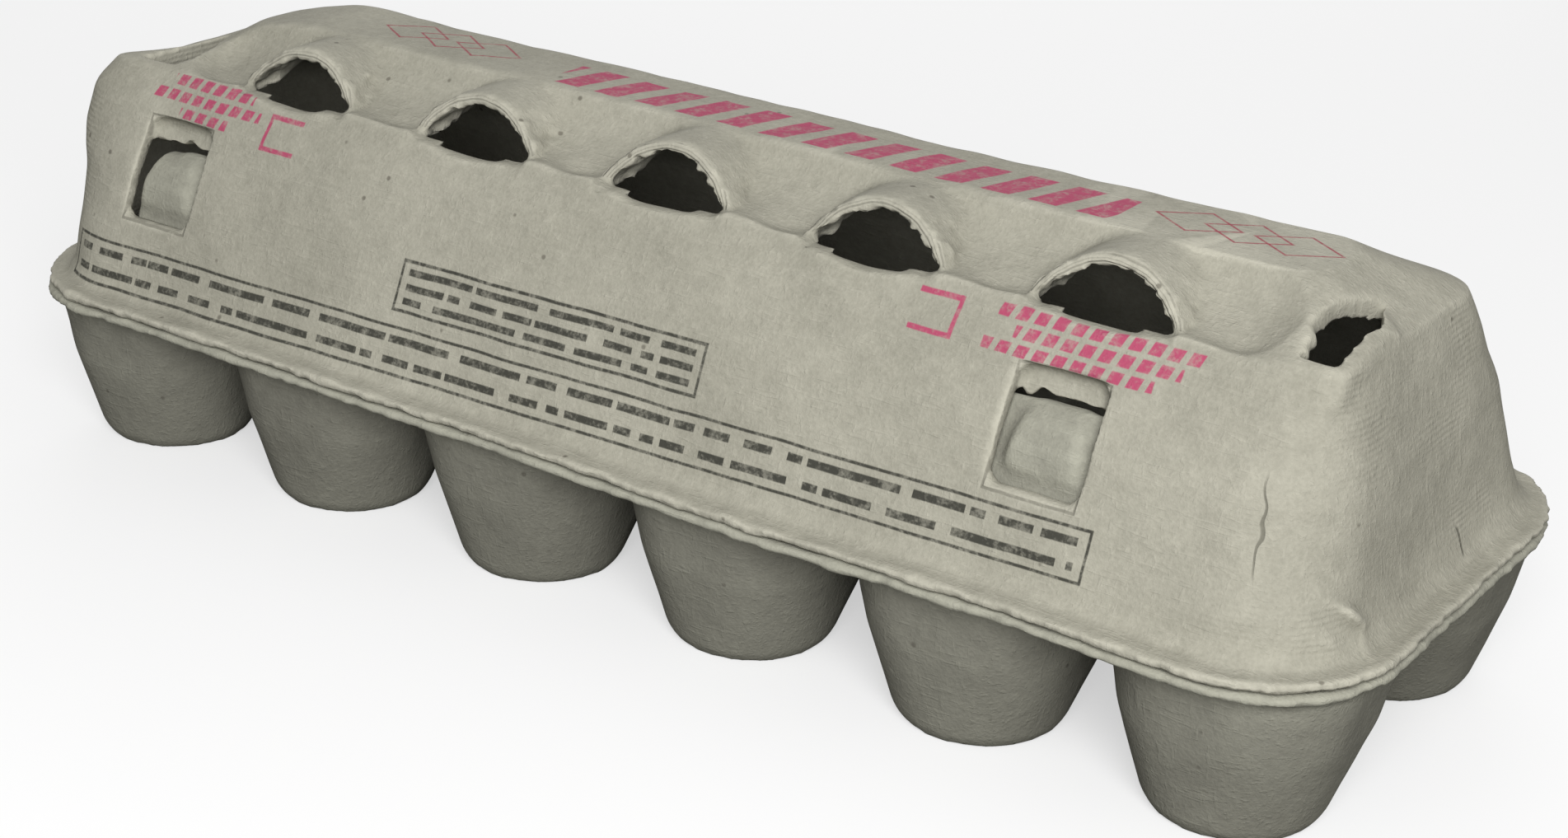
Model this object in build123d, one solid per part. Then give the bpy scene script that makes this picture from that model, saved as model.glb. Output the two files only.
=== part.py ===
from build123d import *
import math
import os

# A moulded-pulp carton for twelve eggs, closed. Lengths are in millimetres.
# The origin is under the middle of the carton at the level of the cup bottoms.
# X runs along the carton, the latch side faces -Y, and Z points up.

wall = 1.8
gap = 0.3

# the twelve cups, round at the foot and nearly square at the rim
# their feet stand a little further apart across the carton than their mouths
pitch = 48.0
row_y = 25.5
cup_foot_shift = 3.3
cups_along = 6
rim_z = 32.0
cup_gap = 3.4
cup_top_half = (pitch - cup_gap) / 2
cup_top_radius = 14.5
cup_shoulder_half = 19.6
cup_shoulder_radius = 16.0
cup_shoulder_z = 17.0
cup_low_radius = 15.3
cup_low_z = 2.2
cup_base_radius = 13.9

# the mouth of the lid, just inside the rim that both mouldings have
mouth_in = 3.0
mouth_out = 1.6
mouth_half_x = pitch * cups_along / 2 - mouth_in
mouth_half_y = row_y + cup_top_half + mouth_out
mouth_radius = 21.0
rim_width = 3.9
rim_half_x = mouth_half_x + rim_width
rim_half_y = mouth_half_y + rim_width
rim_radius = mouth_radius + rim_width

# the five posts between the cups
post_base_radius = 8.6
post_top_radius = 5.6
post_top_z = 60.0

# the outside of the lid: the mouth just above its rim, and the levels over it as shares
# of the lid's height and of the mouth's half length, half width and corner radius
lid_rim_z = rim_z + gap
mouth_z = lid_rim_z + wall
lid_height = 49.5
flare_shares = ((0.05, 0.985, 0.962, 0.93), (0.139, 0.975, 0.931, 0.88))
side_shares = ((0.463, 0.957, 0.7935, 0.76), (0.685, 0.938, 0.664, 0.62))
shoulder_shares = (0.83, 0.922, 0.5506, 0.452)
roof_shares = ((0.85, 0.912, 0.506, 0.42), (0.986, 0.833, 0.2105, 0.3))
ridge_shares = (1, 0.82, 0.17, 0.238)
lid_shares = ((0, 1, 1, 1), *flare_shares, *side_shares, shoulder_shares, *roof_shares, ridge_shares)
top_z = mouth_z + lid_height
shoulder_z = mouth_z + lid_height * shoulder_shares[0]
shoulder_half_x = mouth_half_x * shoulder_shares[1]
shoulder_half_y = mouth_half_y * shoulder_shares[2]
ridge_half_y = mouth_half_y * ridge_shares[2]

# the arched hoods along the front shoulder, counted from the middle one
vent_pitch = 43.7
vent_numbers = (-2, -1, 0, 1, 2)
hood_half = 13.6
hood_setback = 1.8
hood_drop = 0.6
hood_lean = 25.0
hood_root = 5.0
vent_lip = 2.0
sill_bow = 1.7
hood_base_z = shoulder_z - hood_drop
hood_height = top_z - hood_base_z - hood_drop / 2
hood_front_y = hood_setback - shoulder_half_y
hood_back_y = wall - ridge_half_y

# the cut-off vent beside each end of the lid, seen in plan
end_vent_reach = 8.5
end_vent_length = 28.0
end_vent_lip = 4.0
end_vent_margin = 3.0
end_vent_front = 1.0
end_vent_x = shoulder_half_x - end_vent_reach - end_vent_margin
end_vent_y = end_vent_front - shoulder_half_y

# the long scoop behind the front shoulder, from which the hoods rise
scoop_radius = 16.0
scoop_front = 0.7
scoop_back = 1.0
scoop_half_x = vent_pitch * len(vent_numbers) / 2

# the latch: a flap on the tray with two buttons that stand in two windows of the lid
window_x = (-110.0, 86.0)
window_half = 8.2
window_low_z = 48.4
window_high_z = 66.6
window_radius = 2.2
window_slot_z = 62.0
flap_gap = 0.8
flap_end_gap = 12.0
flap_half_x = shoulder_half_x - flap_end_gap
flap_top_z = 60.6
flap_radius = 9.0
flap_height_shares = (0.3, 0.76, 1)
button_side_gap = 0.9
button_sill_gap = 0.9
button_reach = 2.9
button_depth = 3.6
# shares of the window's height, of the button's reach, half length and depth
button_shares = ((0, 0.1, 0.95, 0.6), (0.12, 0.62, 1, 1), (0.33, 0.86, 0.97, 1.1), (0.52, 0.7, 0.84, 0.9), (0.62, 0.2, 0.66, 0.5))

# how far a cutting shape runs past what it cuts
overrun = 2.0


def rounded(half_x, half_y, radius, z, x=0, y=0):
    """A flat rounded rectangle at height z."""
    return Pos(x, y, z) * RectangleRounded(2 * half_x, 2 * half_y, radius)


def disc(radius, z, x, y=0):
    """A flat round at height z."""
    return Pos(x, y, z) * Circle(radius)


def between(low, high, share):
    """The value a share of the way from low to high."""
    return low + (high - low) * share


# Tray


def cup_form(x, side, inset):
    """One cup of the row on that side, drawn in by inset."""
    foot_y = side * (row_y + cup_foot_shift)
    middle_y = side * (row_y + cup_foot_shift / 2)
    shoulder_half = cup_shoulder_half - inset
    top_half = cup_top_half - inset
    base = disc(cup_base_radius - inset, inset, x, foot_y)
    low = disc(cup_low_radius - inset, cup_low_z + inset / 2, x, foot_y)
    shoulder = rounded(shoulder_half, shoulder_half, cup_shoulder_radius - inset, cup_shoulder_z, x, middle_y)
    top = rounded(top_half, top_half, cup_top_radius - inset, rim_z, x, side * row_y)
    return loft([base, low], ruled=True) + loft([low, shoulder]) + loft([shoulder, top], ruled=True)


def cup_places():
    """Where the twelve cups stand along X, and on which side."""
    first = -pitch * (cups_along - 1) / 2
    return [(first + pitch * i, side) for i in range(cups_along) for side in (-1, 1)]


def post_form(x, inset):
    """A tapered post that stands between four cups, drawn in by inset."""
    low = disc(post_base_radius - inset, rim_z - wall, x)
    high = disc(post_top_radius - inset, post_top_z - inset, x)
    return loft([low, high], ruled=True)


def post_places():
    """The middles of the posts between neighbouring cups."""
    half = cups_along // 2
    return [pitch * i for i in range(1 - half, half)]


def lid_half_y(z):
    """Half the outside width of the lid at height z."""
    share = (z - mouth_z) / lid_height
    for low, high in zip(lid_shares, lid_shares[1:]):
        if low[0] <= share <= high[0]:
            return mouth_half_y * between(low[2], high[2], (share - low[0]) / (high[0] - low[0]))
    return mouth_half_y


def flap_front_y(z):
    """The front of the lock flap at height z, just inside the lid's wall."""
    return wall + flap_gap - lid_half_y(z + wall)


def flap():
    """The lock flap that stands on the front of the tray's rim."""
    foot_z = rim_z - wall
    foot = (0, wall + gap - mouth_half_y, foot_z)
    heights = [between(rim_z, flap_top_z, share) for share in flap_height_shares]
    front = [Vector(foot)] + [Vector(0, flap_front_y(z), z) for z in heights]
    back = [point + Vector(0, wall, 0) for point in reversed(front)]
    solid = extrude(make_face(Polyline(*front, *back, close=True)), amount=flap_half_x, dir=(1, 0, 0), both=True)
    outline = Pos(0, 0, foot_z) * Rot(90, 0, 0) * RectangleRounded(2 * flap_half_x, 2 * (flap_top_z - foot_z), flap_radius)
    return solid & extrude(outline, amount=mouth_half_y)


def button(x):
    """A bulge of the flap that stands in a window of the lid."""
    half = window_half - button_side_gap
    low_z = window_low_z + button_sill_gap
    rings = []
    for height_share, reach_share, half_share, depth_share in button_shares:
        z = between(low_z, window_high_z, height_share)
        depth = button_depth * depth_share + wall
        middle = flap_front_y(z) - button_reach * reach_share + depth / 2
        rings.append(rounded(half * half_share, depth / 2, button_depth * depth_share / 2, z, x, middle))
    return loft(rings, ruled=True)


def tray():
    """The cups, the rim, the posts and the lock flap in one moulding."""
    solid = extrude(rounded(rim_half_x, rim_half_y, rim_radius, rim_z - wall), amount=wall)
    for x, side in cup_places():
        solid += cup_form(x, side, 0)
    for x in post_places():
        solid += post_form(x, 0)
    for x, side in cup_places():
        solid -= cup_form(x, side, wall)
    for x in post_places():
        solid -= post_form(x, wall)
    solid += flap()
    for x in window_x:
        solid += button(x)
    return solid


# Lid


def hood(x, inset):
    """One arched hood, running back from its leaning front into the ridge."""
    lean = math.radians(hood_lean)
    half = hood_half - inset
    height = hood_height / math.cos(lean) - inset
    normal = (0, -math.cos(lean), math.sin(lean))
    front = Plane(origin=(x, hood_front_y + inset, hood_base_z), x_dir=(1, 0, 0), z_dir=normal)
    arch = ThreePointArc((-half, 0), (0, height), (half, 0))
    root = Polyline((half, 0), (half, -hood_root), (-half, -hood_root), (-half, 0))
    return extrude(front * make_face(arch + root), amount=hood_back_y - hood_front_y - inset, dir=(0, 1, 0))


def scoop(grow):
    """The long round scoop behind the front shoulder, made bigger by grow on the inside of the lid."""
    front = Vector(0, scoop_front - shoulder_half_y, shoulder_z)
    back = Vector(0, -scoop_back - ridge_half_y, top_z)
    half_chord = (back - front) / 2
    reach = math.sqrt(scoop_radius**2 - half_chord.length**2)
    away = Vector(0, -half_chord.Z, half_chord.Y).normalized() * reach
    middle = front + half_chord + away
    radius = scoop_radius + grow
    solid = Pos(middle.X, middle.Y, middle.Z) * Rot(0, 90, 0) * Cylinder(radius, 2 * scoop_half_x)
    for x in (-scoop_half_x, scoop_half_x):
        solid += Pos(x, middle.Y, middle.Z) * Sphere(radius)
    return solid


def plain_form(inset):
    """The solid outline of the lid above its rim without its hoods, drawn in by inset."""
    rings = []
    for height_share, x_share, y_share, radius_share in lid_shares:
        z = mouth_z + lid_height * height_share - (inset if height_share else 0)
        radius = mouth_radius * radius_share - inset
        rings.append(rounded(mouth_half_x * x_share - inset, mouth_half_y * y_share - inset, radius, z))
    return loft(rings, ruled=True)


def lid_form(inset):
    """The solid outline of the lid above its rim, drawn in by inset."""
    solid = plain_form(inset) - scoop(inset)
    for number in vent_numbers:
        solid += hood(vent_pitch * number, inset)
    return solid


def vent(x):
    """The opening in the front of a hood, with a bowed sill."""
    half = hood_half - vent_lip
    start = Plane(origin=(x, hood_front_y - hood_root, hood_base_z), x_dir=(1, 0, 0), z_dir=(0, -1, 0))
    arch = ThreePointArc((-half, 0), (0, hood_height - vent_lip), (half, 0))
    sill = ThreePointArc((half, 0), (0, -sill_bow), (-half, 0))
    return extrude(start * make_face(arch + sill), amount=2 * hood_root, dir=(0, 1, 0))


def end_vent(side, inset):
    """The outline in plan of the cut-off vent beside one end of the lid."""
    near = side * (end_vent_x + inset)
    far = side * (end_vent_x + end_vent_reach - inset)
    tip = (near, end_vent_y + inset)
    corner = (far, end_vent_y + end_vent_reach / 4)
    back = (far, end_vent_y + end_vent_length - inset)
    middle = (near, end_vent_y + end_vent_length / 2)
    return make_face(Line(tip, corner) + Line(corner, back) + ThreePointArc(back, middle, tip))


def wall_block(x, half, low_z, high_z):
    """A block of rounded outline through the front wall of the lid."""
    height = high_z - low_z
    outline = RectangleRounded(2 * half, height, window_radius)
    return extrude(Pos(x, -ridge_half_y, low_z + height / 2) * Rot(90, 0, 0) * outline, amount=mouth_half_y)


def lid():
    """The lid with its rim, vents and latch windows in one moulding."""
    outside = lid_form(0)
    rim = extrude(rounded(rim_half_x, rim_half_y, rim_radius, lid_rim_z), amount=wall)
    mouth = rounded(mouth_half_x - wall, mouth_half_y - wall, mouth_radius - wall, lid_rim_z - overrun)
    solid = outside + rim - lid_form(wall) - extrude(mouth, amount=wall + overrun)
    for number in vent_numbers:
        solid -= vent(vent_pitch * number)
    collar_z = shoulder_z - end_vent_lip
    lowered = Pos(0, 0, -end_vent_lip) * plain_form(0)
    for side in (-1, 1):
        collar = extrude(Pos(0, 0, collar_z) * end_vent(side, 0), amount=top_z - collar_z)
        solid += (collar & outside) - lowered
        solid -= extrude(Pos(0, 0, collar_z - overrun) * end_vent(side, wall), amount=top_z)
    inside = plain_form(wall)
    deep_inside = plain_form(2 * wall)
    for x in window_x:
        backing = wall_block(x, window_half + wall, window_slot_z, window_high_z + wall)
        solid += (backing & inside) - deep_inside
        solid -= wall_block(x, window_half, window_low_z, window_high_z) - inside
        solid -= wall_block(x, window_half, window_low_z, window_slot_z)
    return solid


os.makedirs("parts", exist_ok=True)
for name, shape in (("tray", tray()), ("lid", lid())):
    export_step(shape, f"parts/{name}.step")
    box = shape.bounding_box()
    print(name, len(shape.solids()), "solids", round(shape.volume), "mm3", box.min, box.max)
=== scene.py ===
# %% [markdown]
# # A carton of moulded pulp for twelve eggs
# A pulp carton is sucked out of a grey soup of waste paper onto a mesh form, then pressed and
# dried. Nothing on it is quite flat or sharp, its edges are torn and fibrous, and its colour is
# cloudy. The CAD model gives every wall at its true place and size. This file keeps those walls,
# softens them into pulp, roughens the edges, and adds colour, fibres and print.

# %% Tools and the CAD frame
import math

import bpy
import numpy as np
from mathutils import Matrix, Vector


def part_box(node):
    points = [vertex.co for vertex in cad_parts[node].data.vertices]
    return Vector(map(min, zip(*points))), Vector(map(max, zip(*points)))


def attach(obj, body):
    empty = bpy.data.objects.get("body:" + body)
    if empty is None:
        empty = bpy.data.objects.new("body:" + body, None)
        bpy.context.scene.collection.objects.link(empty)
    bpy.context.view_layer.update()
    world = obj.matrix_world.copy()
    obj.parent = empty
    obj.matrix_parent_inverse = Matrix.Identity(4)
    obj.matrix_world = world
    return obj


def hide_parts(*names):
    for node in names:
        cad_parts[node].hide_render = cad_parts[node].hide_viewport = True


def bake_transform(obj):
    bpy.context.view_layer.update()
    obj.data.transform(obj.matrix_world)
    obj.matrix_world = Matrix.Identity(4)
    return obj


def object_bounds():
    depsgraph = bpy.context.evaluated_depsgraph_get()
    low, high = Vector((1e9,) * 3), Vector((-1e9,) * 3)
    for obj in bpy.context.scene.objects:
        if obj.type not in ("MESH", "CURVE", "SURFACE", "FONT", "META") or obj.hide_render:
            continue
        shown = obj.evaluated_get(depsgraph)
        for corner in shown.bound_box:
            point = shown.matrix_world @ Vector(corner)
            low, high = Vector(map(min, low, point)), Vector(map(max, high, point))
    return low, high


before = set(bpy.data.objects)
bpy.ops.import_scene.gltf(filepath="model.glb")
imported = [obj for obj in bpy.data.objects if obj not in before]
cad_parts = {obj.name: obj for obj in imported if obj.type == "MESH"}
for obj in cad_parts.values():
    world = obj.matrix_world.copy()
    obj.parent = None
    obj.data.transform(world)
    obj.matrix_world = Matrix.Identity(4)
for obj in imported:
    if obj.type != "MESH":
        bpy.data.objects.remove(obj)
cad_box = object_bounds()
print("CAD box:", cad_box)

# %% [markdown]
# ## Working one piece at a time
# Blender's operators act on whatever is selected, and loading the frame leaves its nodes
# selected. So a small helper clears the selection and makes one piece active before each step.
# A second helper adds a modifier with its settings and applies it, as the panel's menu does. Two
# more read and write all points of a piece at once, which is how it is sculpted below.


# %% Select, apply, read and write
def only(piece):
    """Selects one piece and makes it the active one."""
    bpy.ops.object.select_all(action="DESELECT")
    piece.select_set(True)
    bpy.context.view_layer.objects.active = piece


def finish_with(piece, kind, **settings):
    """Adds a modifier to the piece, with its settings, and applies it."""
    only(piece)
    modifier = piece.modifiers.new(kind.title(), kind)
    for key, value in settings.items():
        setattr(modifier, key, value)
    bpy.ops.object.modifier_apply(modifier=modifier.name)


def points_of(piece, kind="co"):
    """The places of the piece's points as an array, one row each, or their normals."""
    rows = np.empty(len(piece.data.vertices) * 3)
    piece.data.vertices.foreach_get(kind, rows)
    return rows.reshape(-1, 3)


def move_points(piece, points):
    """Writes changed points back to the piece."""
    piece.data.vertices.foreach_set("co", np.asarray(points).ravel())
    piece.data.update()


def triangles(piece):
    """How many triangles the piece has."""
    return sum(len(face.vertices) - 2 for face in piece.data.polygons)


MM = 0.001


def mm(*values):
    """Millimetres as metres, the frame's unit."""
    return tuple(value * MM for value in values)


print("the carton is", [round((high - low) / MM, 1) for low, high in zip(*cad_box)], "mm")

# %% [markdown]
# ## From CAD walls to pulp walls
# A CAD solid has knife-sharp edges. Real pulp has none, because the slurry can't fill a sharp
# corner of the mesh form. A voxel remesh turns the copy into small even faces, like clay, and a few
# rounds of smoothing then round each edge by about half a wall. The other way would be a bevel
# on each edge, but a bevel stays even and this softening differs with the shape, as pulp does.

# %% Soft copies of the CAD nodes
SAME_POINT = 0.01 * MM
LID_VOXEL, TRAY_VOXEL = mm(0.75, 0.85)
ROUNDS = 4
coarse = 1


def soft_copy(node, name, voxel):
    """A remeshed and smoothed copy of a CAD node, with its own mesh."""
    piece = bpy.data.objects.new(name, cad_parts[node].data.copy())
    bpy.context.scene.collection.objects.link(piece)
    piece.data.name = name
    piece.data.materials.clear()
    only(piece)
    bpy.ops.object.mode_set(mode="EDIT")
    bpy.ops.mesh.select_all(action="SELECT")
    bpy.ops.mesh.remove_doubles(threshold=SAME_POINT)
    bpy.ops.object.mode_set(mode="OBJECT")
    finish_with(piece, "REMESH", mode="VOXEL", voxel_size=voxel)
    finish_with(piece, "SMOOTH", factor=0.5, iterations=ROUNDS)
    print(name, "has", triangles(piece), "triangles after the remesh")
    return piece


lid = soft_copy("lid", "pulp_lid", LID_VOXEL * coarse)
tray = soft_copy("tray", "pulp_tray", TRAY_VOXEL * coarse)

# %% [markdown]
# ## Roughness that is the same on every run
# Pulp is uneven at every size, from long waves in a rim to torn fibres. A sum of a few sine waves in
# random directions looks like soft noise, is quick for all points at once, and with a fixed seed
# it gives the same result on each run. The other helpers turn a distance or a height into a
# share that fades softly, so that no change ends in a step.

# %% Swells and soft shares
WAVES = 14
WAVE_LENGTHS = (1.4, 3.0)
FULL_SUM = 5


def swells(points, size, seed):
    """Soft noise of about -1 to 1 at each point, whose swells are about that size."""
    rng = np.random.default_rng(seed)
    total = np.zeros(len(points))
    for _ in range(WAVES):
        direction = rng.normal(size=3)
        direction /= np.linalg.norm(direction)
        wave = 2 * math.pi / (size * rng.uniform(*WAVE_LENGTHS))
        total += np.sin(points @ direction * wave + rng.uniform(0, 2 * math.pi))
    return total / FULL_SUM


def bump_at(distance, width):
    """1 at no distance, falling softly to 0 over about that width."""
    return np.exp(-((distance / width) ** 2))


def rises(values, low, high):
    """0 below low, 1 above high, smooth between."""
    share = np.clip((values - low) / (high - low), 0, 1)
    return share * share * (3 - 2 * share)


def falls(values, low, high):
    """1 below low, 0 above high, smooth between."""
    return rises(-values, -high, -low)


def span(values, start, full, fading, end):
    """0 before start, 1 from full to fading, 0 again after end, smooth between."""
    return rises(values, start, full) * falls(values, fading, end)


print("swells at the origin:", swells(np.zeros((1, 3)), 10 * MM, 1))

# %% [markdown]
# ## The uneven shape of the lid and the tray
# Both mouldings dried together as one blank, so their rims share the same long waves. The walls
# have shallow swells of their own. The height of the feet is left alone, so that the carton
# stands on the floor.

# %% Long waves and swells of the walls
FROM_ABOVE = (1, 1, 0)
MOSTLY_ALONG = (1, 0.3, 0.3)
ABOVE_FEET = mm(12, 30)
OFF_MIDDLE = mm(5, 40)
LEAST_SHARE = 0.35


def shared_lift(points):
    """How far the long waves of the blank lift each point."""
    return 0.45 * MM * swells(points * FROM_ABOVE, 42 * MM, 5)


def shared_push(points):
    """How far the blank is bent across the carton at each point."""
    return 0.5 * MM * swells(points * MOSTLY_ALONG, 60 * MM, 6)


def warp(piece, seed, depth):
    """Long waves shared by both mouldings, and swells of the piece's own."""
    points = points_of(piece)
    lift = rises(points[:, 2], *ABOVE_FEET)
    points[:, 2] += shared_lift(points) * lift
    points[:, 1] += shared_push(points) * lift * rises(np.abs(points[:, 1]), *OFF_MIDDLE)
    own = swells(points, 9 * MM, seed) + 0.6 * swells(points, 4 * MM, seed + 1)
    push = depth * own * np.clip(lift + LEAST_SHARE, 0, 1)
    points += points_of(piece, "normal") * push[:, None]
    move_points(piece, points)
    print(piece.name, "swells by up to", round(np.abs(push).max() / MM, 2), "mm")


warp(lid, 11, 0.16 * MM)
warp(tray, 21, 0.14 * MM)

# %% [markdown]
# ## Torn edges
# An edge of moulded pulp isn't clean. Its fibres run out unevenly at every rim and hole, so all
# edges are frayed. Points near an edge are pushed about by short swells, and the nearer the edge
# the further. The rim only loses width by this, so the carton keeps its size. Along the crease at
# the back the sheet goes on, so the rim draws in evenly there.

# %% Fray the rims
RIM_CORNER = 24.9 * MM
RIM_LEVELS = mm(26, 29, 37, 39)
CREASE_EDGE, CREASE_ENDS = mm(50, 52), mm(118, 124)
CREASE_TEAR, MOST_TEAR = 0.7, 1.5
RIM_REACH, RIM_TEAR, RIM_RIPPLE = mm(1.6, 0.62, 0.16)
TINY = 1e-9


def outline_distance(points, half_x, half_y, radius):
    """How far each point is inside a rounded rectangle seen from above, and the way outwards."""
    corner = np.abs(points[:, :2]) - (half_x - radius, half_y - radius)
    outside = np.maximum(corner, 0)
    reach = np.hypot(outside[:, 0], outside[:, 1])
    inside = radius - reach - np.minimum(np.maximum(corner[:, 0], corner[:, 1]), 0)
    away = np.where(reach[:, None] > TINY, outside / np.maximum(reach, TINY)[:, None], 0)
    return inside, np.sign(points[:, :2]) * away


def torn(points, least, layers):
    """How far an edge is torn back at each point: a least share, and swells of a few sizes."""
    total = least
    for share, size, seed in layers:
        total = total + share * swells(points, size, seed)
    return total


def fray_rim(piece, seed):
    """Frays the outer edge of the piece's rim."""
    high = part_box("tray")[1]
    points = points_of(piece)
    inside, away = outline_distance(points, high.x, high.y, RIM_CORNER)
    near = bump_at(np.maximum(inside, 0), RIM_REACH) * span(points[:, 2], *RIM_LEVELS)
    creased = rises(points[:, 1], *CREASE_EDGE) * falls(np.abs(points[:, 0]), *CREASE_ENDS)
    layers = (0.3, 1.3 * MM, seed), (0.35, 3.1 * MM, seed + 1), (0.4, 9 * MM, seed + 2)
    tear = np.clip(torn(points, 0.35, layers), 0, MOST_TEAR)
    tear = tear * (1 - creased) + CREASE_TEAR * creased
    points[:, :2] -= away * (near * tear * RIM_TEAR)[:, None]
    points[:, 2] += near * swells(points, 3.4 * MM, seed + 3) * RIM_RIPPLE
    move_points(piece, points)
    print(piece.name, "frayed", int((near > 0.1).sum()), "points of its rim")


fray_rim(lid, 31)
fray_rim(tray, 41)

# %% [markdown]
# ## Torn vents and slots
# The five vents are half-round holes in the fronts of the hoods. A point's place is measured in
# shares of a vent's half width and its height, so that the arched edge lies at a share of 1 all
# along. The upper edge of the slot in each window is torn as well.

# %% Fray the vents and the window slots
VENT_PITCH, SILL_Z = mm(43.7, 74.6)
VENT_HALF, VENT_HIGH = mm(11.6, 6.7)
VENTS = range(-2, 3)
HOOD_HALF = 14 * MM
HOOD_FRONT, HOOD_FOOT = mm(-17, -14), mm(70, 72)
BELOW_SILL = -0.5 * MM
# the middle of each window, in millimetres
WINDOWS = (-110, 86)
SLOT_Z, SLOT_HALF, BEHIND_WALL = mm(62, 7.6, -28)
VENT_REACH, SLOT_REACH, TEAR_DEPTH = mm(1.0, 1.1, 0.8)


def fray_vent(points, number):
    """Frays the arched edge of one vent."""
    across = points[:, 0] - number * VENT_PITCH
    up = points[:, 2] - SILL_Z
    radial = np.hypot(across / VENT_HALF, np.maximum(up, 0) / VENT_HIGH)
    near = bump_at(np.abs(radial - 1) * VENT_HIGH, VENT_REACH)
    near *= falls(points[:, 1], *HOOD_FRONT) * rises(points[:, 2], *HOOD_FOOT)
    near *= (up > BELOW_SILL) * (np.abs(across) < HOOD_HALF)
    tear = torn(points, 0.2, ((0.4, 1.2 * MM, 50 + number), (0.4, 2.7 * MM, 60 + number)))
    points[:, 0] -= near * tear * across / VENT_HALF * TEAR_DEPTH
    points[:, 2] -= near * tear * TEAR_DEPTH
    print("vent", number, "frayed", int((near > 0.1).sum()), "points")


def fray_slot(points, middle):
    """Frays the upper edge of the slot in one window."""
    near = bump_at(points[:, 2] - SLOT_Z, SLOT_REACH)
    near *= (np.abs(points[:, 0] - middle) < SLOT_HALF) * (points[:, 1] < BEHIND_WALL)
    points[:, 2] += near * swells(points, 1.8 * MM, 71) * TEAR_DEPTH


points = points_of(lid)
for number in VENTS:
    fray_vent(points, number)
for middle in WINDOWS:
    fray_slot(points, middle * MM)
move_points(lid, points)

# %% [markdown]
# ## Dents, folds and pillows
# The hollow beside each hood is deepest just behind the sharp crease of the front wall. Where
# the wall meets the rim at a corner, the wet blank had too much paper, so it bulged and folded.
# The folds are short soft lines, each raised along its own direction.

# %% Dents and folds of the lid
HOLLOW_SIDE, HOLLOW_Y, HOLLOW_Z = mm(3, -24, 76)
HOLLOW_WIDTHS, HOLLOW_DEPTH = mm(5, 3.2, 4), -1.1 * MM
PILLOW_X, PILLOW_Y, PILLOW_Z = mm(128, -38, 41)
PILLOW_WIDTHS, PILLOW_DEPTH = mm(10, 8, 5), 1.1 * MM
# the start and end of each fold, its width and height, and the way it is raised
FOLDS = (
    (mm(133, -36, 43.5), mm(139.5, -28.5, 37.6), 1.0 * MM, 2.3 * MM, (0.6, -0.6, 0.4)),
    (mm(139, -29, 38), mm(141.5, -31.5, 34.6), 0.9 * MM, 1.8 * MM, (0.5, -0.5, 0.6)),
    (mm(131, -40, 38), mm(138, -35.5, 36), 1.3 * MM, 1.1 * MM, (0.4, -0.5, 0.7)),
    (mm(-131, -37, 43), mm(-137, -31, 37), 1.0 * MM, 0.9 * MM, (-0.6, -0.6, 0.4)),
)


def dent(points, centre, widths, depth, direction):
    """Moves the points around a centre by depth along a direction."""
    share = np.exp(-(((points - centre) / widths) ** 2).sum(1))
    points += share[:, None] * depth * np.array(direction)


def fold(points, start, end, width, height, direction):
    """Raises a soft fold along a line."""
    along = np.subtract(end, start)
    share = np.clip(((points - start) @ along) / (along @ along), 0, 1)
    distance = np.linalg.norm(points - (start + share[:, None] * along), axis=1)
    fade = np.sin(math.pi * np.clip(share, 0.04, 0.96)) ** 0.5
    points += (bump_at(distance, width) * fade * height)[:, None] * np.array(direction)


points = points_of(lid)
for number in range(-2, 4):
    middle = (number - 0.5) * VENT_PITCH
    place = (middle + HOLLOW_SIDE, HOLLOW_Y, HOLLOW_Z)
    dent(points, place, HOLLOW_WIDTHS, HOLLOW_DEPTH, (0, -0.2, 1))
for side in (-1, 1):
    place = (side * PILLOW_X, PILLOW_Y, PILLOW_Z)
    dent(points, place, PILLOW_WIDTHS, PILLOW_DEPTH, (side * 0.5, -0.7, 0.1))
for line in FOLDS:
    fold(points, *line)
move_points(lid, points)
print("made", len(FOLDS), "folds")

# %% [markdown]
# ## The left end
# The carton in the photograph is a little crushed at its left end. The end wall and the front
# corner bulge out over the rim, and the roof behind them sank by a few millimetres. The right end
# keeps the even form of the mould.

# %% Bulge the left end
END_X, END_Z = mm(119, 132), mm(34, 62)
CORNER_Y, CORNER_Z = mm(-32, 0), mm(52, 72)
END_OUT, CORNER_OUT, CORNER_FORWARD = mm(6.5, 3.5, 3.0)
SUNK_X, SUNK_Y, SUNK_Z = mm(96, 122), mm(-35, -12), mm(58, 74)
SUNK_DEPTH = 4.0 * MM
LEFT_LIMIT = -144.6 * MM

points = points_of(lid)
end = rises(-points[:, 0], *END_X) * rises(points[:, 2], *END_Z)
corner = falls(points[:, 1], *CORNER_Y) * rises(points[:, 2], *CORNER_Z)
points[:, 0] -= end * (END_OUT + CORNER_OUT * corner)
points[:, 1] -= end * corner * CORNER_FORWARD
sunk = rises(-points[:, 0], *SUNK_X) * rises(points[:, 1], *SUNK_Y)
points[:, 2] -= sunk * rises(points[:, 2], *SUNK_Z) * SUNK_DEPTH
points[:, 0] = np.maximum(points[:, 0], LEFT_LIMIT)
move_points(lid, points)
print("lid box after the bulge:", points.min(0), points.max(0))

# %% [markdown]
# ## Lips of the vents
# Each vent opens through a flat, ragged lip inside its hood. The lip is widest at the top and runs
# out to nothing at both ends of the sill, which gives the opening its pointed corners. The vent at
# the right end is cut off by the end wall. It opens towards that wall, and its lip is broad in the
# middle of its arc.

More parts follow.
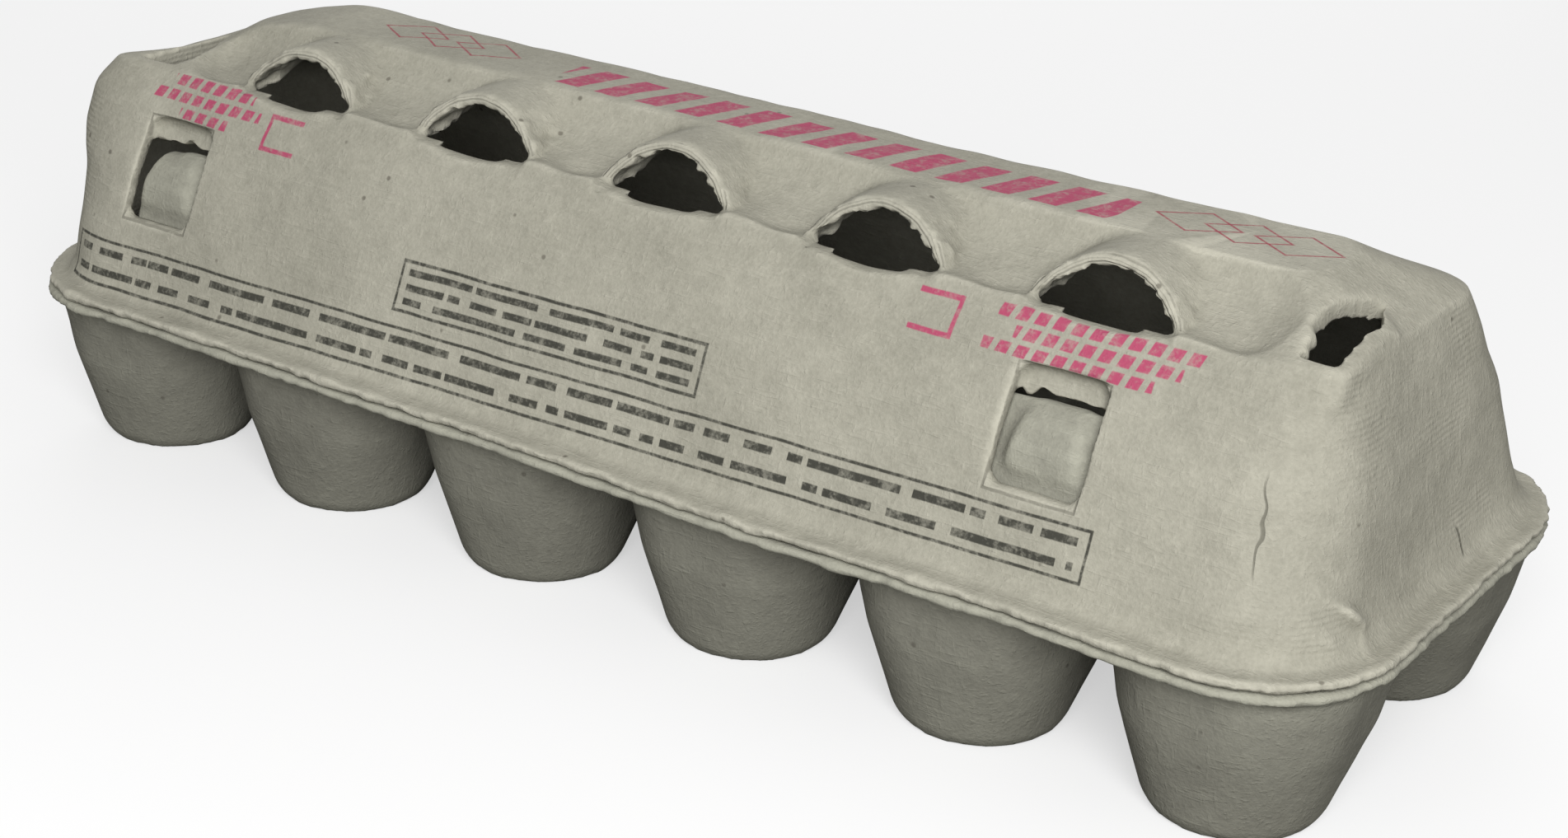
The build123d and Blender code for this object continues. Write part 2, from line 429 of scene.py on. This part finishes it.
# %% Shape the lips
LIP_FRONT = mm(-21, -18)
LIP_UP, LIP_SIDE = mm(0.6, 11.4)
LIP_HIGH, LIP_WIDE = mm(2.6, 2.2)
SPREAD, DROOP = mm(1.5, 0.5)
ARC_X, ARC_Y, ARC_RADIUS = mm(145.4, -26.4, 28.2)
END_TOP, END_START = mm(68, 71), 110 * MM
END_LIP_Y, END_LIP_BAND = mm(-27, -21, -11, -6), mm(0.5, 1.4, 2.5, 4.5)
FAR_X, FAR_Y, FAR_WIDER = mm(123.2, 124.8, 126.6, 131), mm(-31, -25, -8, -3), 2.0 * MM
END_TEARS = (0.45, 1.2 * MM, 91), (0.3, 3 * MM, 92)


def spread_corners(points, middle):
    """Draws the lower corners of one vent out towards the edge of its hood."""
    across = points[:, 0] - middle
    up = points[:, 2] - SILL_Z
    share = bump_at(up - LIP_UP, LIP_HIGH) * bump_at(np.abs(across) - LIP_SIDE, LIP_WIDE)
    share *= falls(points[:, 1], *LIP_FRONT)
    points[:, 0] += np.sign(across) * share * SPREAD
    points[:, 2] -= share * DROOP


def open_end_vent(points):
    """Makes the right end's vent wider, broadens its lip, and frays the lip's edge."""
    x, y, z = points.T.copy()
    from_arc = ARC_RADIUS - np.hypot(x - ARC_X, y - ARC_Y)
    top = rises(z, *END_TOP) * (x > END_START)
    lip = span(from_arc, *END_LIP_BAND) * span(y, *END_LIP_Y) * top
    far = span(x, *FAR_X) * span(y, *FAR_Y) * top
    points[:, 0] += lip * torn(points, 0.9, END_TEARS) * MM + far * FAR_WIDER
    print("the end vent has", int((lip > 0.1).sum()), "points in its lip")


points = points_of(lid)
for number in VENTS:
    spread_corners(points, number * VENT_PITCH)
open_end_vent(points)
move_points(lid, points)

# %% [markdown]
# ## Thinning and hanging
# The remesh gives more triangles than the shape needs. Decimating keeps them where the wall
# curves and drops them where it is flat. Every point is first held inside the box of the CAD
# model, so that the soft carton is no bigger than the hard one. Each piece then takes the place
# of its CAD node and rides on that node's body.

# %% Thin them and hang them on their bodies
MOST_TRIANGLES = 190000

for piece in (lid, tray):
    move_points(piece, np.clip(points_of(piece), *cad_box))
    count = triangles(piece)
    if count > MOST_TRIANGLES:
        finish_with(piece, "DECIMATE", ratio=MOST_TRIANGLES / count)
    only(piece)
    bpy.ops.object.shade_smooth()
    print(piece.name, "ends with", triangles(piece), "triangles")
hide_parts("lid")
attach(lid, "lid")
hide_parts("tray")
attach(tray, "tray")

# %% [markdown]
# ## A small language for shader maths
# Each material is a graph of nodes. Written out one by one, a graph hides its idea, so this class
# wraps a node's output and lets Python's own operators add the Math nodes.


# %% The shader class
class Val:
    """A socket in a node tree that understands + - * / and comparison."""

    tree = None

    def __init__(self, socket):
        self.socket = socket

    @staticmethod
    def input_of(made, key):
        """A node's input by its number, as in i0, or by its name with _ for a space."""
        if key[0] == "i" and key[1:].isdigit():
            return made.inputs[int(key[1:])]
        return made.inputs[key.replace("_", " ")]

    @classmethod
    def node(cls, kind, outputs=0, settings=None, **inputs):
        """Adds a node, sets it up, feeds its inputs, and returns one output or several."""
        made = cls.tree.nodes.new(kind)
        for key, value in (settings or {}).items():
            setattr(made, key, value)
        for key, value in inputs.items():
            slot = cls.input_of(made, key)
            if isinstance(value, Val):
                cls.tree.links.new(value.socket, slot)
            else:
                slot.default_value = value
        if isinstance(outputs, tuple):
            return tuple(cls(made.outputs[output]) for output in outputs)
        return cls(made.outputs[outputs])

    def maths(self, operation, other=0.0):
        """One Math node."""
        return Val.node("ShaderNodeMath", settings={"operation": operation}, i0=self, i1=other)

    def __add__(self, other):
        return self.maths("ADD", other)

    __radd__ = __add__

    def __mul__(self, other):
        return self.maths("MULTIPLY", other)

    __rmul__ = __mul__

    def __sub__(self, other):
        return self.maths("SUBTRACT", other)

    def __rsub__(self, other):
        return (self * -1) + other

    def __truediv__(self, other):
        return self.maths("DIVIDE", other)

    def __neg__(self):
        return self * -1

    def __gt__(self, other):
        return self.maths("GREATER_THAN", other)

    def __lt__(self, other):
        return self.maths("LESS_THAN", other)

    def over(self, low, high):
        """Rises smoothly from 0 at low to 1 at high."""
        smooth = {"interpolation_type": "SMOOTHSTEP"}
        return Val.node("ShaderNodeMapRange", settings=smooth, i0=self, i1=low, i2=high, i3=0.0, i4=1.0)


def mix(factor, a, b):
    """A mix of two colours."""
    return Val.node("ShaderNodeMix", outputs=2, settings={"data_type": "RGBA"}, i0=factor, i6=a, i7=b)


print("shader class ready")

# %% [markdown]
# ## Where the pulp is rubbed pale, and painted shade in hollows
# Ridges and edges of pulp are rubbed pale, and hollows are darkened with painted shade. A point that
# stands out from its smoothed surroundings is on a ridge, and one that lies back is in a hollow. That
# difference is kept on each point, so that the material can read it.

# %% Ridges and hollows
SMOOTHING = 0.6
SMOOTHINGS = 8


def pull_together(points, first, second, shares):
    """Moves each point towards the mean of the points that it shares an edge with."""
    count = len(points)
    total = [
        np.bincount(first, points[second, k], count) + np.bincount(second, points[first, k], count)
        for k in range(3)
    ]
    return (1 - SMOOTHING) * points + SMOOTHING * np.stack(total, 1) / shares[:, None]


def keep_relief(piece):
    """Writes how far each point stands out from its surroundings, in mm, as worn."""
    points = points_of(piece)
    edges = np.empty(len(piece.data.edges) * 2, dtype=np.int32)
    piece.data.edges.foreach_get("vertices", edges)
    first, second = edges.reshape(-1, 2).T
    shares = np.maximum(np.bincount(edges, minlength=len(points)), 1)
    soft = points
    for _ in range(SMOOTHINGS):
        soft = pull_together(soft, first, second, shares)
    relief = ((points - soft) * points_of(piece, "normal")).sum(1) / MM
    # relief, read for rubbed pale ridges and for painted shade in hollows
    layer = piece.data.attributes.new("worn_and_shaded", "FLOAT", "POINT")
    layer.data.foreach_set("value", relief.astype(np.float32))
    print(piece.name, "relief from", relief.min(), "to", relief.max(), "mm")


for piece in (lid, tray):
    keep_relief(piece)

# %% [markdown]
# ## The print
# The ink is stamped on the dry pulp, so it is thin and breaks up where the pulp is rough. Each
# printed shape is a mask made of soft bands of the place on the wall, in millimetres. The shapes
# are plain ones: dashes, boxes, slanted bars, brackets and diamonds.

# %% Shapes of ink
BOX_MARGIN = 2
DASHES_PER_MM, NEXT_ROW = 0.24, 31
BAR_SLANT = 0.32
DIAMOND_HALF, DIAMOND_HIGH, DIAMOND_MIDDLE = 8, 5.2, 1


def band(value, low, high, soft=0.12):
    """1 between low and high, falling off softly at both ends."""
    return value.over(low - soft, low + soft) * (1 - value.over(high - soft, high + soft))


def panel(across, up, left, right, low, high):
    """A filled rectangle."""
    return band(across, left, right) * band(up, low, high)


def outline(across, up, left, right, low, high, line):
    """The outline of a rectangle."""
    inner = panel(across, up, left + line, right - line, low + line, high - line)
    return panel(across, up, left, right, low, high) - inner


def dashes(across, up, left, right, rows, height, seed):
    """Rows of dashes of uneven length."""
    total = 0
    for number, middle in enumerate(rows):
        along = across * DASHES_PER_MM + (seed + NEXT_ROW * number)
        level = {"noise_dimensions": "1D"}
        chance = Val.node("ShaderNodeTexNoise", settings=level, W=along, Scale=1.0, Detail=1.0)
        row = panel(across, up, left, right, middle - height / 2, middle + height / 2)
        total = chance.over(0.40, 0.42) * row + total
    return total


def boxed_dashes(across, up, box, line, rows, height, seed):
    """Rows of dashes in the outline of a rectangle."""
    left, right, low, high = box
    inner = dashes(across, up, left + BOX_MARGIN, right - BOX_MARGIN, rows, height, seed)
    return outline(across, up, left, right, low, high, line) + inner


def slanted(across, up, left, right, low, high, pitch, share):
    """A row of slanted bars."""
    phase = ((across - up * BAR_SLANT) / pitch).maths("FRACT")
    return panel(across, up, left, right, low, high) * band(phase, 0.04, 0.04 + share, 0.03)


def diamonds(across, up, first, count, step):
    """A row of thin diamond outlines that overlap."""
    total = 0
    for number in range(count):
        aside = (across - (first + number * step)).maths("ABSOLUTE") / DIAMOND_HALF
        size = aside + (up - DIAMOND_MIDDLE).maths("ABSOLUTE") / DIAMOND_HIGH
        total = band(size, 0.93, 1.03, 0.03) + total
    return total


def bracket(across, up, stem, tip, low, high, line):
    """A bracket with its stem at one x and its tips at another."""
    left, right = min(stem, tip), max(stem, tip)
    upright = panel(across, up, stem - line / 2, stem + line / 2, low, high)
    top = panel(across, up, left, right, high - line, high)
    bottom = panel(across, up, left, right, low, low + line)
    return (upright + top + bottom).maths("MINIMUM", 1.0)


# %% [markdown]
# ## Bare pulp
# Waste paper gives a warm grey that is cloudy at three sizes, from blots of a finger's width to
# specks. Fibres lie mostly along the carton, and a few dark flecks are left of old print. The
# height follows the finest swells and the fibres, and a bump reads it, because they are far too
# small for the mesh.

# %% The surface of bare pulp
FLECK = (0.07, 0.06, 0.045, 1)


def cloud(place, scale, detail=2.0, rough=0.55):
    """Soft noise of 0 to 1, whose grain is one over scale."""
    return Val.node("ShaderNodeTexNoise", Vector=place, Scale=scale, Detail=detail, Roughness=rough)


def stretched(place, scale, turn=(0.0, 0.0, 0.0)):
    """The same place with another scale along each axis."""
    return Val.node("ShaderNodeMapping", Vector=place, Scale=scale, Rotation=turn)


class Surface:
    """Pulp as shader values: its place in mm, its facing, its grain, its colour and its height."""

    def __init__(self, pale, deep):
        self.place, facing = Val.node("ShaderNodeTexCoord", outputs=(3, 1))
        axes = Val.node("ShaderNodeSeparateXYZ", outputs=(0, 1, 2), Vector=self.place)
        self.x, self.y, self.z = (axis / MM for axis in axes)
        self.face_y, self.face_z = Val.node("ShaderNodeSeparateXYZ", outputs=(1, 2), Vector=facing)
        self.blots = cloud(self.place, 38.0, 3.0)
        self.grain = cloud(self.place, 420.0, 3.0, 0.6)
        self.specks = cloud(self.place, 1500.0, 2.0, 0.6)
        along = cloud(stretched(self.place, (160.0, 1300.0, 1300.0)), 1.0, 2.0)
        askew = cloud(stretched(self.place, (900.0, 900.0, 190.0), (0.5, 0.7, 0.3)), 1.0, 2.0)
        self.fibres = along.over(0.56, 0.68) * 0.6 + askew.over(0.58, 0.70) * 0.6
        self.colour = mix(self.tone(), (*deep, 1), (*pale, 1))
        self.stain(self.flecks() * 0.6, FLECK)
        self.height = self.grain * 0.5 + self.specks * 0.35 + self.fibres * 0.22
        self.height = self.height + cloud(self.place, 130.0, 1.0) * 0.5

    def tone(self):
        """How pale the pulp is: cloudy, rubbed paler on ridges, and deeper in hollows as painted shade.
        """
        worn_and_shaded = Val.node("ShaderNodeAttribute", outputs=2, settings={"attribute_name": "worn_and_shaded"})
        tone = 0.5 + (self.blots - 0.5) * 0.75 + (self.grain - 0.5) * 0.55
        tone = tone + (self.specks - 0.5) * 0.55 + (self.fibres - 0.2) * 0.12
        # paler where ridges are rubbed; the deeper grey in hollows is painted shade
        return tone + worn_and_shaded.over(0.03, 0.45) * 0.45 - (-worn_and_shaded).over(0.03, 0.5) * 0.5

    def flecks(self):
        """A few dark flecks, one in some of the cells of a Voronoi pattern."""
        cells = "ShaderNodeTexVoronoi"
        distance, chance = Val.node(cells, outputs=(0, 1), Vector=self.place, Scale=230.0)
        picked = Val.node("ShaderNodeSeparateColor", Color=chance) > 0.86
        return (1 - distance.over(0.07, 0.15)) * picked

    def stain(self, factor, colour):
        """Mixes a colour in where the factor says."""
        self.colour = mix(factor, self.colour, colour)

    def front(self):
        """1 on what faces the front, ahead of the scoop."""
        return (-self.face_y).over(0.1, 0.3) * (self.y < -27)


# %% [markdown]
# ## What is printed on the lid
# A black box with three rows of dashes and a longer one with two rows stand on the front wall.
# Rose bars fill its upper left and right, with a bracket beside each field. More bars lie along
# the ridge, between two rows of diamonds. The ink takes less well where the grain stands high, so
# its mask is thinned there.

# %% The print
# each box's edges, left, right, lower and upper, its line, its rows with their height, and a seed
BOXES = (
    ((-47.5, 21, 47.7, 56.6), 0.55, (54.6, 52.1, 49.7), 1.15, 3),
    ((-130, 98.5, 37.0, 45.35), 0.5, (43.1, 39.4), 1.3, 7),
)
# the stem and the tips of each bracket, its lower and upper edge, and its line
BRACKETS = ((-89, -81, 66, 72, 0.8), (64, 56, 67, 73, 0.8))
# the left and right end and the lower edge of each row of rose bars
ROSE_ROWS = (
    (-117, -95, 72.3),
    (-121, -92, 69.8),
    (-112, -99, 67.3),
    (71, 108, 72.0),
    (75, 105, 69.6),
    (70, 101, 67.2),
)
ROSE_HEIGHT, ROSE_PITCH, ROSE_SHARE = 1.7, 3.4, 0.66
RIDGE_FIELD, RIDGE_PITCH, RIDGE_SHARE = (-41, 78, -7.5, 3.6), 9.2, 0.6
DIAMOND_STARTS, DIAMOND_COUNT, DIAMOND_STEP = (-80, 90), 3, 9
TILT = 0.015
BLACK_INK = (0.035, 0.035, 0.028, 1)
ROSE_INK = (0.38, 0.055, 0.12, 1)
DARK_ROSE_INK = (0.30, 0.06, 0.08, 1)


def print_on(pulp):
    """Stamps the boxes, bars, brackets and diamonds on the front wall and the ridge."""
    x, y, z = pulp.x, pulp.y, pulp.z
    front = pulp.front()
    roof = pulp.face_z.over(0.3, 0.5) * (z > 70)
    take = (pulp.grain * 0.6 + pulp.specks * 0.4).over(0.66, 0.44) * 0.45 + 0.5
    up = z - x * TILT
    black = sum(boxed_dashes(x, up, *box) for box in BOXES)
    rose = sum(bracket(x, z, *places) for places in BRACKETS)
    for left, right, low in ROSE_ROWS:
        rose = rose + slanted(x, z, left, right, low, low + ROSE_HEIGHT, ROSE_PITCH, ROSE_SHARE)
    ridge_bars = slanted(x, y, *RIDGE_FIELD, RIDGE_PITCH, RIDGE_SHARE)
    lines = sum(diamonds(x, y, start, DIAMOND_COUNT, DIAMOND_STEP) for start in DIAMOND_STARTS)
    pulp.stain(black * front * take, BLACK_INK)
    pulp.stain((rose * front + ridge_bars * roof) * take, ROSE_INK)
    pulp.stain(lines * roof * take, DARK_ROSE_INK)


# %% [markdown]
# ## Cracks, torn layers and painted shadow lines
# A thin crack runs down the front wall near its right corner, and a short curved nick sits low on
# the right end wall. Layers of fibre show as thin rings round each vent, and a ring of painted
# shadow lies in the crease just outside them. Each window has a thin line of painted shadow along
# its cut edge. All of these are thinner than a face of the mesh, so they are drawn in the colour
# and in the height.

# %% Thin marks in the pulp
CRACK_X, CRACK_LEAN, CRACK_Z = 132.8, 0.155, (47.0, 60.0)
NICK_X, NICK_Y, NICK_Z = 130, 8, 38
NICK_BEND, NICK_RANGE = 0.1, (35.8, 40.4)
# the inner and outer radius of each ring, its softness and its strength; the first two are torn
# layers, the last is painted shadow in the crease round the hood
RINGS = ((13.85, 14.05, 0.15, 1.0), (14.5, 14.62, 0.12, 0.6), (15.2, 15.45, 0.15, 1.0))
RING_Z, RING_FLOOR, RING_END = 68.15, 75.2, 109
CUT_HALF, CUT_LOW, CUT_HIGH = 8.5, 48.0, 67.0
CRACK_SHADE = (0.09, 0.085, 0.065, 1)
LAYER_AND_SHADOW_COLOUR = (0.07, 0.065, 0.05, 1)


def crack_on(pulp):
    """A thin crack near the right corner of the front wall, and a nick low on the end wall."""
    x, y, z = pulp.x, pulp.y, pulp.z
    wobble = (cloud(pulp.place, 170.0, 1.0) - 0.5) * 3.2
    off = (x + z * CRACK_LEAN + wobble - CRACK_X).maths("ABSOLUTE")
    crack = (1 - off.over(0.06, 0.28)) * band(z, *CRACK_Z, 2.5) * pulp.front()
    off = (y + (z - NICK_Z) * (z - NICK_Z) * NICK_BEND - NICK_Y).maths("ABSOLUTE")
    nick = (1 - off.over(0.15, 0.5)) * band(z, *NICK_RANGE, 0.5) * (x > NICK_X)
    pulp.stain((crack + nick) * 0.65, CRACK_SHADE)
    pulp.height = pulp.height - (crack + nick) * 0.6


def layers_and_shadow_lines_on(pulp):
    """Thin torn rings round the vents, a ring of painted shadow outside them, and painted shadow lines
    round the windows.
    """
    x, y, z = pulp.x, pulp.y, pulp.z
    pitch = VENT_PITCH / MM
    across = ((x / pitch + 0.5).maths("FRACT") - 0.5) * pitch
    wave = (cloud(pulp.place, 240.0, 1.0) - 0.5) * 0.7
    ring = (across * across + (z - RING_Z) * (z - RING_Z)).maths("SQRT") + wave
    layers = sum(band(ring, low, high, soft) * share for low, high, soft, share in RINGS)
    hoods = (-pulp.face_y).over(0.25, 0.5) * (z > RING_FLOOR) * (y < -20)
    layers = layers * hoods * (x.maths("ABSOLUTE") < RING_END)
    side, up = x + wave * 0.5, z + wave * 0.5
    # painted shadow lines along the cut edges of the windows
    cut_shadows = 0
    for middle in WINDOWS:
        left, right = middle - CUT_HALF, middle + CUT_HALF
        cut_shadows = outline(side, up, left, right, CUT_LOW, CUT_HIGH, 0.4) + cut_shadows
    cut_shadows = cut_shadows * (y < -28) * (pulp.grain.over(0.3, 0.5) * 0.6 + 0.4)
    # painted shadow: the outer ring and the lines round the windows; the inner rings are torn layers
    pulp.stain(layers * 0.4 + cut_shadows * 0.5, LAYER_AND_SHADOW_COLOUR)
    pulp.height = pulp.height - layers * 0.5 - cut_shadows * 0.4


# %% [markdown]
# ## Mould lines, and painted shade on the cups
# The mesh of the mould shows as thin level lines near the ends of the lid, in patches. Below the
# rim a deeper grey is mixed in, which is painted shade on the cups. The flap and the posts stand
# above the rim and stay paler.

# %% Lines of the mould, and the cups
LINES_FROM, LINES_FULL = 112, 130
CUPS_BELOW, CUPS_FADE = 30, 7
CUP_PAINTED_SHADE = (0.09, 0.087, 0.072, 1)


def mould_lines_on(pulp):
    """Fine level lines near both ends, in patches."""
    lines = (pulp.z * 6.6 + (pulp.blots - 0.5) * 4).maths("SINE")
    ends = pulp.x.maths("ABSOLUTE").over(LINES_FROM, LINES_FULL)
    patches = cloud(pulp.place, 55.0, 1.0).over(0.42, 0.62)
    pulp.height = pulp.height + lines * ends * patches * 0.09


def painted_cup_shade_on(pulp):
    """Painted shade on the cups: a deeper grey below the rim."""
    # painted shade: a deeper grey mixed in below the rim
    pulp.stain((CUPS_BELOW - pulp.z).over(0, CUPS_FADE) * 0.45, CUP_PAINTED_SHADE)


# %% [markdown]
# ## The two materials
# Both are the same pulp, and the tray's colours are a darker copy of the lid's, which is painted
# shade. Pulp is quite matt, so its roughness is high and its shine low. Each material starts as
# bare pulp and gets its own marks.


# %% Pulp for the lid and the tray
def moulded_pulp(name, pale, deep, marks):
    """Moulded pulp between a pale and a deep colour, with its marks."""
    material = bpy.data.materials.new(name)
    material.use_nodes = True
    Val.tree = material.node_tree
    pulp = Surface(pale, deep)
    for mark in marks:
        mark(pulp)
    bump = Val.node("ShaderNodeBump", Height=pulp.height, Strength=0.75, Distance=0.45 * MM)
    shader = Val.tree.nodes["Principled BSDF"]
    Val.tree.links.new(pulp.colour.socket, shader.inputs["Base Color"])
    Val.tree.links.new(bump.socket, shader.inputs["Normal"])
    shader.inputs["Roughness"].default_value = 0.94
    shader.inputs["Specular IOR Level"].default_value = 0.25
    print(name, "has", len(Val.tree.nodes), "nodes")
    return material


LID_PALE, LID_DEEP = (0.42, 0.405, 0.335), (0.225, 0.217, 0.175)
# the tray's colours are a darker copy of the lid's: painted shade
TRAY_PALE_SHADED, TRAY_DEEP_SHADED = (0.34, 0.335, 0.275), (0.175, 0.17, 0.14)
LID_MARKS = (print_on, crack_on, layers_and_shadow_lines_on, mould_lines_on)
lid_pulp = moulded_pulp("lid_pulp", LID_PALE, LID_DEEP, LID_MARKS)
tray_pulp = moulded_pulp("tray_pulp", TRAY_PALE_SHADED, TRAY_DEEP_SHADED, (painted_cup_shade_on,))
lid.data.materials.append(lid_pulp)
tray.data.materials.append(tray_pulp)

# %% [markdown]
# ## The crease at the back
# The lid and the tray are one sheet, creased along the back edge. A thin folded strip closes the
# gap between their rims there: its lower edge lies at the tray's rim and its upper edge at the
# lid's. A flat grid is bent into the strip and given a thin wall.

# %% The crease
CREASE_LENGTH = 236 * MM
CREASE_Z, CREASE_HALF = mm(32.15, 1.75)
CREASE_Y, CREASE_LIMIT = mm(53.12, 53.1)
EDGE_BACK, MIDDLE_BACK = mm(0.45, 0.12)
CREASE_WALL = 0.3 * MM

bpy.ops.object.select_all(action="DESELECT")
bpy.ops.mesh.primitive_grid_add(x_subdivisions=160, y_subdivisions=14, size=1, location=(0, 0, 0))
crease = bpy.context.active_object
crease.name = "back_crease"
points = points_of(crease)
share = points[:, 1] * 2
crease_y = CREASE_Y - EDGE_BACK * share**4 - MIDDLE_BACK * (1 - share**2)
crease_z = CREASE_Z + share * CREASE_HALF
points = np.stack((points[:, 0] * CREASE_LENGTH, crease_y, crease_z), 1)
points[:, 2] += shared_lift(points)
points[:, 1] += shared_push(points) + 0.05 * MM * swells(points, 3 * MM, 81)
points[:, 1] = np.minimum(points[:, 1], CREASE_LIMIT)
move_points(crease, points)
finish_with(crease, "SOLIDIFY", thickness=CREASE_WALL, offset=0)
only(crease)
bpy.ops.object.shade_smooth()
crease.data.materials.append(lid_pulp)
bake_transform(crease)
print("crease box:", points.min(0), points.max(0))

# %% [markdown]
# ## Floor and world
# The photograph has a plain white ground. The floor is white to the camera and greyer to the
# light that bounces off it, so the cups stay as dark as they are on the photographed carton.

# %% The floor and the world
FLOOR_GREY = (0.14, 0.14, 0.13, 1)
FLOOR_WHITE = (0.92, 0.92, 0.92, 1)
WHITE = (1, 1, 1, 1)
WORLD_LIGHT = 0.38

bpy.ops.object.select_all(action="DESELECT")
bpy.ops.mesh.primitive_plane_add(size=12, location=(0, 0, 0))
floor = bpy.context.active_object
floor.name = "studio_floor"
floor_material = bpy.data.materials.new("studio_floor")
floor_material.use_nodes = True
Val.tree = floor_material.node_tree
Val.tree.nodes.remove(Val.tree.nodes["Principled BSDF"])
seen = Val.node("ShaderNodeLightPath", outputs="Is Camera Ray")
grey = Val.node("ShaderNodeBsdfDiffuse", Color=FLOOR_GREY)
white = Val.node("ShaderNodeBsdfDiffuse", Color=FLOOR_WHITE)
glow = Val.node("ShaderNodeEmission", Color=WHITE, Strength=1.0)
seen_white = Val.node("ShaderNodeMixShader", i0=0.55, i1=white, i2=glow)
surface = Val.node("ShaderNodeMixShader", i0=seen, i1=grey, i2=seen_white)
Val.tree.links.new(surface.socket, Val.tree.nodes["Material Output"].inputs["Surface"])
floor.data.materials.append(floor_material)
world = bpy.data.worlds.new("studio_world")
world.use_nodes = True
background = world.node_tree.nodes["Background"]
background.inputs["Color"].default_value = WHITE
background.inputs["Strength"].default_value = WORLD_LIGHT
bpy.context.scene.world = world
print("world light", WORLD_LIGHT)

# %% [markdown]
# ## Lamps
# The photograph has a broad soft light from the front right and above, which leaves pale tops and
# soft shadows. A second, weaker lamp stands low behind the left end and lifts the back and the
# end. Both are area lamps, because their size makes the edges of the shadows soft.

# %% The lamps
LAMP_TARGET = Vector((0, 0, 0.04))


def soft_lamp(name, place, size, power):
    """A square area lamp that looks at the middle of the carton."""
    bpy.ops.object.light_add(type="AREA", location=place)
    lamp = bpy.context.active_object
    lamp.name = name
    lamp.data.size = size
    lamp.data.energy = power
    lamp.rotation_euler = (LAMP_TARGET - lamp.location).to_track_quat("-Z", "Y").to_euler()
    print(name, "at", tuple(lamp.location))


soft_lamp("soft_key", (0.50, -0.66, 0.52), 0.5, 10.5)
soft_lamp("low_fill", (-0.55, 0.80, 0.24), 0.8, 4.5)

# %% [markdown]
# ## Camera
# The camera's place, turn and lens were fitted to the cup bottoms, the rim and the vents in the
# photograph. The standard view transform shows each colour about as it is written.

# %% The camera
CAMERA_PLACE = (0.28649, -0.40455, 0.24072)
CAMERA_DEGREES = (66.377, -1.815, 35.159)
CAMERA_LENS = 66.21

camera_turn = tuple(math.radians(angle) for angle in CAMERA_DEGREES)
bpy.ops.object.camera_add(location=CAMERA_PLACE, rotation=camera_turn)
camera = bpy.context.active_object
camera.name = "photo_camera"
camera.data.lens = CAMERA_LENS
camera.data.sensor_width = 36
camera.data.clip_start = 0.01
bpy.context.scene.camera = camera
bpy.context.scene.view_settings.view_transform = "Standard"
print("camera at", tuple(camera.location))
